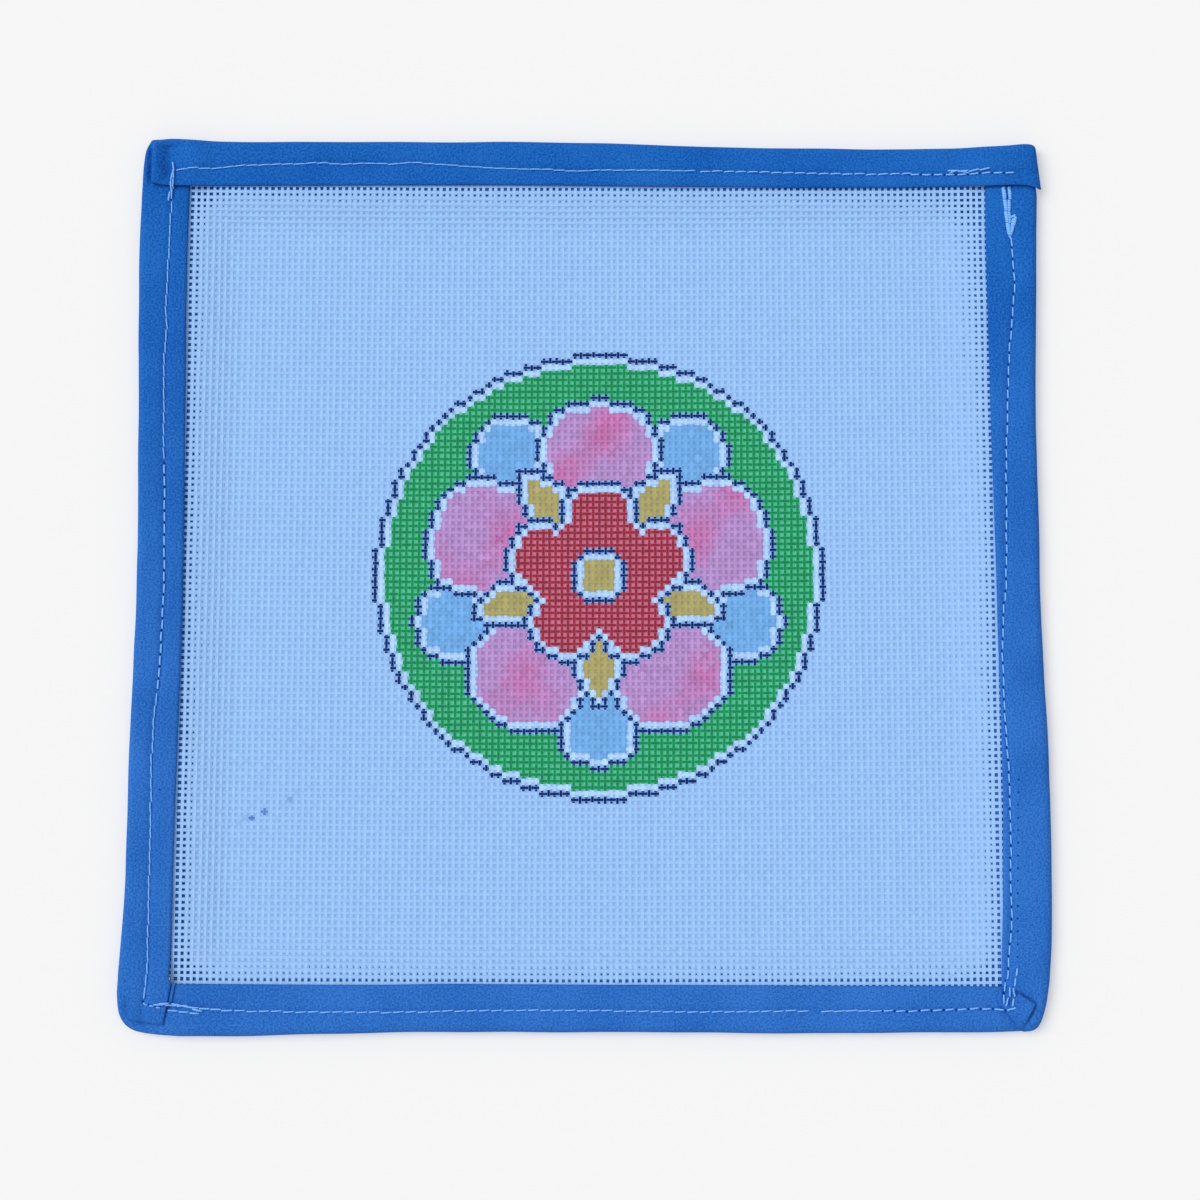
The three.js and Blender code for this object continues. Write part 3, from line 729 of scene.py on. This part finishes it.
TOP_SIDE = [
    (-101.2, 2.6, 7.6, 1), (-100, 1.3, 9.3, 1), (-99.2, 0.75, 10.35, 1), (-98.4, 0.6, 10.75, 1),
    (-97.3, 0.35, 11.1, 1), (-95, 0.15, 11.3, 1), (-90, 0.5, 11.2, 1), (-85, 0.8, 10.7, 0),
    (-75, 0.95, 10.5, 0), (-62, 1.15, 10.3, 0), (-50, 1.0, 10.4, 0), (-20, 1.1, 10.3, 0),
    (-5, 1.4, 10.2, 0), (16, 1.8, 10.1, 0), (28, 2.4, 9.6, 0), (50, 3.0, 9.3, 0), (75, 3.1, 9.2, 0),
    (86, 2.8, 9.3, 0), (91, 2.7, 9.5, 1), (97, 2.6, 9.5, 1), (101.5, 2.2, 9.9, 1), (103, 2.4, 10.3, 1),
    (104.2, 2.6, 10.5, 1), (105.6, 3.1, 9.4, 1),
]  # fmt: skip
TOP_SEAM = [
    (-96, 94.35), (-93.7, 94.42), (-85, 94.6), (-78, 95.28), (-70, 95.58), (-63, 95.68), (-60, 95.88),
    (-55, 95.48), (-50, 95.78), (-45, 95.48), (-40, 95.78), (-35, 95.48), (-30, 95.08), (-25, 94.78),
    (-20, 94.48), (-15, 94.38), (-10, 94.08), (-5, 93.88), (0, 93.78), (5, 93.98), (18, 93.88),
    (49.5, 93.17), (64, 92.83), (74, 92.91), (80, 92.69), (88, 92.69), (92, 92.89), (98.5, 92.86),
    (104, 92.76),
]  # fmt: skip
END_BEND = 1.9  # radius on which the right end turns down
on_top = lambda out, at: (at, out)
top_fold, top_inner, top_lap = side_stations(TOP_SIDE, HALF_HEIGHT, on_top)
top_shows = np.interp(
    top_fold[:, 0], (-93, -91.5, 10, 52, 78, 91.5, 93), (-1.5, BACK_SHOWS, BACK_SHOWS, 5.0, 7.2, 7.2, -1.5)
)
top_points, top_along, top_across = tape_surface(
    top_fold, top_inner, top_lap, TOP_SEAM, np.ones(len(top_fold)), top_shows, 13
)


def turned_down(points, start, slant, bend, level):
    """Points past start bent down on an arc, closing on a level, with start slanting back up the tape."""
    x, y, z = np.moveaxis(points, -1, 0)
    bend_x = start - slant * (y - 90.3)
    angle = np.clip((x - bend_x) / bend, 0, np.pi / 2)
    new_x = np.where(x > bend_x, bend_x + bend * np.sin(angle), x)
    return np.stack([new_x, y, level + (z - level) * np.cos(angle)], -1)


top_points = turned_down(top_points, 102.85, 0.12, END_BEND, 1.5)
mirrored = top_points * (-1, 1, 1)
top_points = turned_down(mirrored, 98.9, 0.02, 0.75, 2.4) * (-1, 1, 1)
# The hem stands up along the end, and the tape falls away from it to the seam's first stitches.
from_end = top_points[..., 0] + 98.6
fall = np.exp(-(((from_end - 3.0) / np.where(from_end < 3.0, 1.25, 4.0)) ** 2))
fall = 1.55 * fall * np.clip((top_points[..., 1] - 90.6) / 2.6, 0, 1)
on_face = np.clip((top_points[..., 2] - 2.4) / 0.8, 0, 1)
on_face *= np.clip((101.2 - top_points[..., 1]) / 1.5, 0, 1)
top_points[..., 2] += (0.45 * np.exp(-((from_end / 0.7) ** 2)) - fall) * on_face
binding_top = finish_tape(
    tape_piece("binding_tape_top", top_points, top_along, top_across), "binding_top"
)

# ---- Corner pleats -------------------------------------------------------------------------------
# Where the tape is turned at the lower corners its spare width is folded flat: a pleat on the lower
# right corner, and a narrow edge of the under layer beside the tail at the lower left.

face_points = np.concatenate(
    [p[:, FACE_FROM:].reshape(-1, 3) for p in (right_points, bottom_points, left_points, top_points)]
)


def tape_height(places):
    """Height of the tape's face under each place: the highest of the grid points within 0.5 mm."""
    found = np.empty(len(places))
    for some in np.array_split(np.arange(len(places)), max(1, len(places) // 200)):
        near = (np.abs(places[some][:, None] - face_points[None, :, :2]).max(-1)) < 0.5
        found[some] = np.where(near, face_points[None, :, 2], -1).max(1)
    return np.where(found < 0, np.median(found), found)


def pleat(name, corners, high, buried, beside=0.0):
    """
    A layer of tape on four corners: its height over the tape beneath (or beside it) is high, and falls
    by a power of the first parameter to buried below it along the side from first corner to last.
    """
    u, v = np.meshgrid(np.linspace(0, 1, 19), np.linspace(0, 1, 19), indexing="ij")
    a, b, c, d = np.array(corners, float)[:, None, None, :]
    u2, v2 = u[..., None], v[..., None]
    plan = (a * (1 - u2) + b * u2) * (1 - v2) + (d * (1 - u2) + c * u2) * v2
    under = tape_height(plan.reshape(-1, 2) + (beside, 0)).reshape(u.shape)
    z = under + high - (high + buried) * (1 - u) ** 2
    points = np.concatenate([plan, z[..., None]], -1)
    along, across = plan[..., 0] + 300, plan[..., 1] + 300
    thing = tape_piece(name, points, along, across)
    thing.modifiers["wall"].thickness = 0.30 * MM
    node = "binding_right" if plan[0, 0, 0] > 0 else "binding_left"
    return finish_tape(thing, node), points.reshape(-1, 3)


right_pleat, right_pleat_points = pleat(
    "binding_pleat_right", [(93.2, -95.9), (96.1, -92.7), (99.7, -94.95), (97.25, -100.0)], 1.0, 0.5
)
left_strip, _ = pleat(
    "binding_strip_left",
    [(-91.7, -90.5), (-91.1, -90.5), (-91.75, -94.5), (-92.35, -94.5)], 0.45, -0.45, 1.0,
)  # fmt: skip
face_points = np.concatenate([face_points, right_pleat_points])

# ---- Topstitching --------------------------------------------------------------------------------
# Pale blue sewing thread in a machine lockstitch, 2.7 mm to the stitch, through both layers of tape
# and the canvas. Each side starts or ends with a few stitches sewn back over themselves.

needle_holes = [np.linspace((97.0, -45.5), (96.1, -84.7), 15), np.array([(-95.2, -47.5)])]


def stitches(route, stitch=STITCH, gap=0.5, thick=0.40, proud=0.0, slant=0.08, start=0.0):
    """
    Stitches along a route in plan: each a tube on six lines that comes up out of its hole, lies flat on
    the tape and goes down into the next hole, drawn slightly across the route.
    """
    route = np.array(route, float)
    length = run_length(route)
    first = start + stitch * np.arange(int((length[-1] - start) / stitch))
    share = np.array([0, 0.06, 0.2, 0.5, 0.8, 0.94, 1.0])
    s = first[:, None] + gap / 2 + (stitch - gap) * share
    plan = columns_at(s, length, route)
    ahead = columns_at(s + 0.4, length, route) - columns_at(s - 0.4, length, route)
    ahead = ahead / np.hypot(ahead[..., 0], ahead[..., 1])[..., None]
    aside = np.stack([-ahead[..., 1], ahead[..., 0]], -1)
    wander = slant * (share - 0.5) * 2 + 0.05 * wear.standard_normal((len(first), 1))
    plan = plan + aside * wander[..., None]
    tape = tape_height(plan.reshape(-1, 2)).reshape(s.shape)
    sunk = np.interp(gap, (0.08, 0.4), (0.10, 0.55))
    rise = np.array([-sunk, 0.02, 0.14, 0.17, 0.14, 0.02, -sunk]) + proud
    z = tape + rise * min(thick / 0.40, 1.1)
    ends = np.interp(gap, (0.08, 0.4), (0.9, 0.55))
    reach = thick / 2 * np.array([ends, 0.93, 1, 1.05, 1, 0.93, ends])
    turn = np.arange(6) * np.pi / 3
    out = aside[:, :, None] * (np.cos(turn)[:, None] * reach[:, None, None])
    up = (np.sin(turn) * reach[:, None] * 0.85) + z[..., None]
    points = np.concatenate([plan[:, :, None] + out, up[..., None]], -1)
    ring = np.arange(6)
    base = (np.arange(len(first)) * 42)[:, None, None] + (np.arange(6) * 6)[None, :, None]
    a, b = base + ring, base + (ring + 1) % 6
    walls = np.stack([a, a + 6, b + 6, b], -1).reshape(-1, 4)
    low = (np.arange(len(first)) * 42)[:, None]
    caps = [low + cap for cap in ((0, 1, 2, 3), (0, 3, 4, 5), (39, 38, 37, 36), (41, 40, 39, 36))]
    twist = np.stack([s[:, :, None] + 0 * turn, turn / FULL_TURN + 0 * up], -1)
    if gap > 0.3:
        needle_holes.append(np.concatenate([plan[:, 0], plan[-1:, -1]]) - ahead[0, 0] * gap / 2)
    return points.reshape(-1, 3), np.concatenate([walls, *caps]), twist.reshape(-1, 2)


def sewing_thread_material():
    """Twisted polyester thread: pale blue, with painted shade as a darker line where the plies meet."""
    material, nodes, shader = new_material("topstitch_thread", 0.5, 0.15)
    twist = nodes.new("ShaderNodeUVMap")
    twist.uv_map = "twist"
    slope = new_node(nodes, "VectorMath", "DOT_PRODUCT", ((1, (FULL_TURN / 0.55, FULL_TURN * 2, 0)),))
    plies = new_node(nodes, "Math", "SINE")
    # Painted shade: the colour darkens where the plies meet.
    shades = nodes.new("ShaderNodeValToRGB")
    shades.color_ramp.elements[0].color = (0.12, 0.37, 0.90, 1)
    shades.color_ramp.elements[1].color = (0.28, 0.58, 1.00, 1)
    level = new_node(nodes, "MapRange", None, (("From Min", -1),))
    bump = new_node(nodes, "Bump", None, (("Strength", 0.4), ("Distance", 0.05 * MM)))
    wire(twist, "UV", slope, 0)
    wire(slope, "Value", plies, 0)
    wire(plies, 0, level, "Value")
    wire(level, "Result", shades, "Fac")
    wire(shades, "Color", shader, "Base Color")
    wire(level, "Result", bump, "Height")
    wire(bump, "Normal", shader, "Normal")
    return material


topstitch_thread = sewing_thread_material()


def stitch_piece(name, runs):
    """One object from several runs of stitches."""
    points, faces, twist = [], [], []
    for run_points, run_faces, run_twist in runs:
        faces.append(run_faces + sum(map(len, points)))
        points.append(run_points)
        twist.append(run_twist)
    faces = np.concatenate(faces)
    thing = placed_mesh(name, np.concatenate(points) * MM, faces)
    layer = thing.data.uv_layers.new(name="twist")
    layer.data.foreach_set("uv", np.concatenate(twist)[faces.ravel()].ravel())
    thing.data.materials.append(topstitch_thread)
    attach(thing, "root")
    return thing


def part_of(points, low, high, axis):
    """The seam's points whose place on an axis lies from low to high, with its ends on the seam."""
    seam = np.array(points, float)
    order = np.argsort(seam[:, axis])
    between = (seam[:, axis] > low) & (seam[:, axis] < high)
    at = np.unique(np.concatenate([[low, high], seam[between, axis]]))
    other = np.interp(at, seam[order, axis], seam[order, 1 - axis])
    return np.stack([at, other] if axis == 0 else [other, at], -1)


top_stitches = stitch_piece(
    "topstitch_top",
    [
        stitches(part_of(TOP_SEAM, -94, 26, 0), gap=0.04, thick=0.30, slant=0.03),
        stitches(part_of(TOP_SEAM, 26, 77.4, 0), gap=0.20, thick=0.34, slant=0.06, start=0.4),
        stitches(part_of(TOP_SEAM, 74.4, 98.9, 0), stitch=2.7, gap=0.62, thick=0.40, slant=0.04),
        stitches([(83.2, 93.6), (86, 93.35), (88.4, 93.3), (92.9, 93.9)], 2.4, 0.04, 0.38, 0.12),
        stitches([(83.6, 93.1), (85.5, 93.6), (88.4, 92.7)], 2.4, 0.04, 0.34, 0.2),
        stitches(
            [(-94.6, 96.3), (-94.4, 94.6), (-94.9, 92.3), (-94.9, 90.3), (-95.6, 86.8)],
            2.35, 0.05, 0.42, 0.1,
        ),
        stitches(
            [(-94.6, 94.6), (-94.3, 91.3), (-94.5, 90.3), (-94.8, 88.4), (-94.9, 85.6)],
            2.4, 0.05, 0.36, 0.25,
        ),
    ],
)  # fmt: skip
right_stitches = stitch_piece(
    "topstitch_right",
    [
        stitches(part_of(right_seam_points, -95.6, 78.4, 1)[::-1], gap=0.62, thick=0.36),
        stitches([(96.1, 89.6), (96.25, 86.6), (96.5, 83.8), (97.0, 78.4)], 2.75, 0.04, 0.95),
        stitches([(97.3, 89.6), (97.35, 86.6), (97.2, 84), (97.15, 78.4)], 2.8, 0.04, 0.8, 0.04),
        stitches([(98.7, 82.8), (98.2, 81.0), (97.3, 78.4)], 2.2, 0.04, 0.75, 0.1),
        stitches([(98.0, 82.4), (97.6, 80.6), (97.2, 78.0)], 2.1, 0.04, 0.6, 0.0),
        stitches([(98.6, 82.9), (97.4, 82.7)], 1.15, 0.04, 0.6, 0.1),
        stitches([(97.1, 78.4), (97.6, 77.1), (97.6, 75.8)], 1.3, 0.04, 0.42, 0.05),
        stitches([(94.35, -91.2), (94.15, -93.3), (93.7, -93.9), (93.0, -95.8)], 2.3, 0.2, 0.38, 0.2),
        stitches(
            [(96.1, -87.0), (95.6, -89.3), (95.15, -91.7), (95.05, -93.7), (94.55, -95.9)], 2.2, 0.3, 0.4
        ),
    ],
)
bottom_stitches = stitch_piece(
    "topstitch_bottom",
    [
        stitches(part_of(BOTTOM_SEAM, -78, 52, 0), gap=0.24, thick=0.34),
        stitches(part_of(BOTTOM_SEAM, 52.4, 66.4, 0), gap=0.04, thick=0.34),
        stitches(part_of(BOTTOM_SEAM, 66, 97.3, 0), gap=0.50, thick=0.38),
        stitches(
            [(-95.6, -94.9), (-93, -95.0), (-91, -95.4), (-89, -95.3), (-87, -95.7), (-82, -96.2),
             (-77.6, -96.5)],
            2.5, 0.08, 0.40, 0.25,
        ),
    ],
)  # fmt: skip
left_stitches = stitch_piece(
    "topstitch_left",
    [
        stitches(part_of(left_seam_points, 26, 87.0, 1)[::-1], gap=0.10, thick=0.32),
        stitches(part_of(left_seam_points, -28, 26.3, 1)[::-1], gap=0.42, thick=0.42, slant=0.04),
        stitches(part_of(left_seam_points, -94.6, -25.9, 1)[::-1], gap=0.04, thick=0.34),
        stitches([(-97.9, -94.3), (-97.4, -94.95), (-95, -95.5), (-92.5, -96.2)], 1.5, 0.45, 0.36, 0.1),
        stitches([(-92.6, -96.2), (-90, -96.6), (-87, -96.9), (-84.0, -97.2)], 2.4, 0.15, 0.38, 0.1),
        stitches([(-94.6, -94.8), (-91.9, -94.85), (-88.5, -95.6), (-84.6, -96.6)], 2.5, 0.15, 0.46, 0.2),
    ],
)  # fmt: skip

# Painted shade of the needle holes: a small dark disc, dipping at its rim, where the needle went through:
# between stitches, and in one row left when a seam was unpicked on the right tape.
hole_places = np.concatenate(needle_holes)
spokes = np.arange(8) * np.pi / 4
rim = np.stack([0.24 * np.cos(spokes), 0.30 * np.sin(spokes)], -1)
hole_plan = hole_places[:, None] + np.concatenate([rim, rim * 0.5])
hole_high = tape_height(hole_plan.reshape(-1, 2)).reshape(-1, 16) - np.repeat((0.10, -0.04), 8)
ring_start = (np.arange(len(hole_places)) * 16)[:, None, None]
rim_from, rim_to = np.arange(8), (np.arange(8) + 1) % 8
dimple_walls = ring_start + np.stack([rim_from, rim_to, rim_to + 8, rim_from + 8], -1)
dimple_tops = ring_start + np.array([(8, 9, 10, 11), (11, 12, 13, 14), (14, 15, 8, 11)])
dimple_points = np.concatenate([hole_plan, hole_high[..., None]], -1).reshape(-1, 3) * MM
dimple_faces = np.concatenate([dimple_walls.reshape(-1, 4), dimple_tops.reshape(-1, 4)])
hole_shade_discs = placed_mesh("needle_hole_shade_discs", dimple_points, dimple_faces)
# Painted shade: the dark colour of the needle holes.
needle_hole_shade, _, needle_hole_shade_shader = new_material("needle_hole_shade", 0.9, 0.02)
needle_hole_shade_shader.inputs["Base Color"].default_value = (0.001, 0.040, 0.220, 1)
hole_shade_discs.data.materials.append(needle_hole_shade)
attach(hole_shade_discs, "root")
